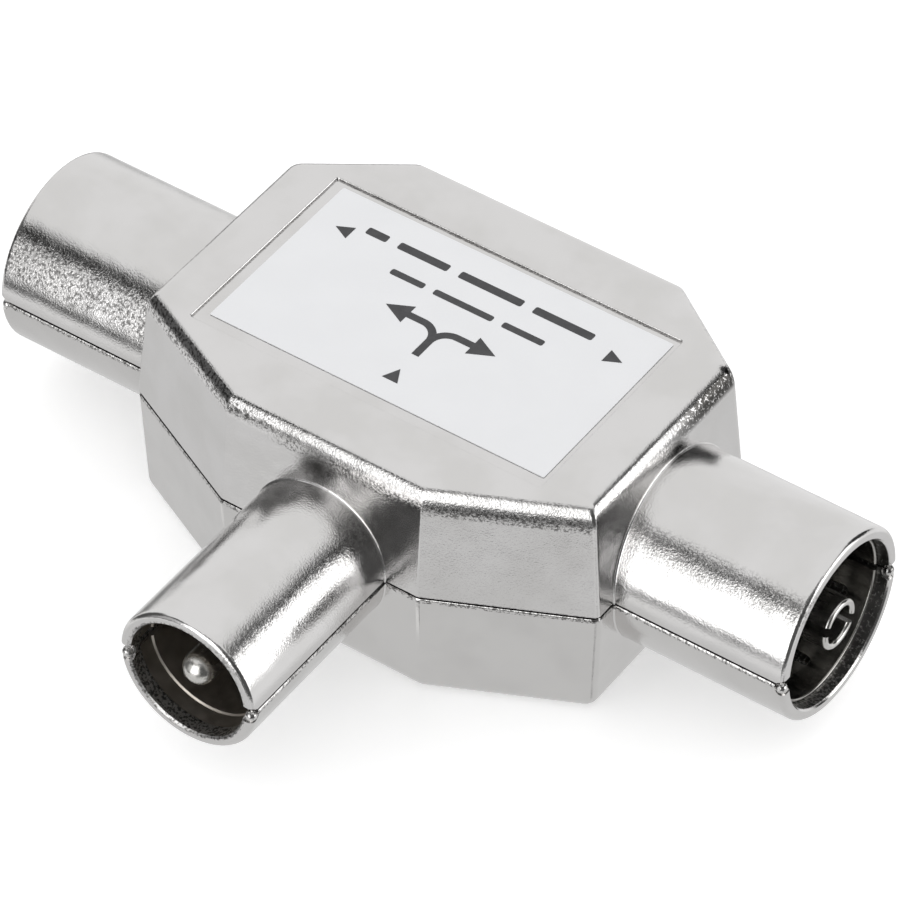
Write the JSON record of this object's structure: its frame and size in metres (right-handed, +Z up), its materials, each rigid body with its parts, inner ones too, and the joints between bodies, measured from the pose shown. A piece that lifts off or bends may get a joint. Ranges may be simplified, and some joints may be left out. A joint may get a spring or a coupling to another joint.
{
  "type": "rf power splitter",
  "caption": "Two-way coaxial power splitter: an eight-sided die-cast housing in two halves, with a plug port in front and a socket port at each end.",
  "frame": {"origin": "on the flat underside, straight below the crossing of the ports' axes, which lie in the seam plane", "axes": "+X towards the right socket port, -Y towards the plug port, +Z up through the label"},
  "size_m": [0.0564, 0.0376, 0.0164],
  "materials": {
    "nickel_plated_zinc": "as-cast grain under bright nickel plating",
    "nickel_plated_sheet": "smooth plated spring sheet",
    "nickel_plated_brass": "smooth plated turning",
    "black_insulator": "moulded",
    "white_label": "satin film label",
    "green_laminate": "glass laminate with solder resist",
    "dark_ferrite": "sintered",
    "enamelled_copper": "enamelled wire",
    "resistor_lacquer": "lacquered",
    "capacitor_ceramic": "fired"
  },
  "bodies": {
    "root": {"upper_housing": "nickel_plated_zinc", "lower_housing": "nickel_plated_zinc", "input_sleeve": "nickel_plated_sheet", "left_output_spring": "nickel_plated_sheet", "right_output_spring": "nickel_plated_sheet", "left_output_contact": "nickel_plated_sheet", "right_output_contact": "nickel_plated_sheet", "earth_strap": "nickel_plated_sheet", "input_pin": "nickel_plated_brass", "input_insulator": "black_insulator", "left_output_insulator": "black_insulator", "right_output_insulator": "black_insulator", "label": "white_label", "circuit_board": "green_laminate", "matching_core": "dark_ferrite", "splitting_core": "dark_ferrite", "matching_winding": "enamelled_copper", "splitting_winding": "enamelled_copper", "balance_resistor": "resistor_lacquer", "tuning_capacitor": "capacitor_ceramic"}
  },
  "joints": []
}
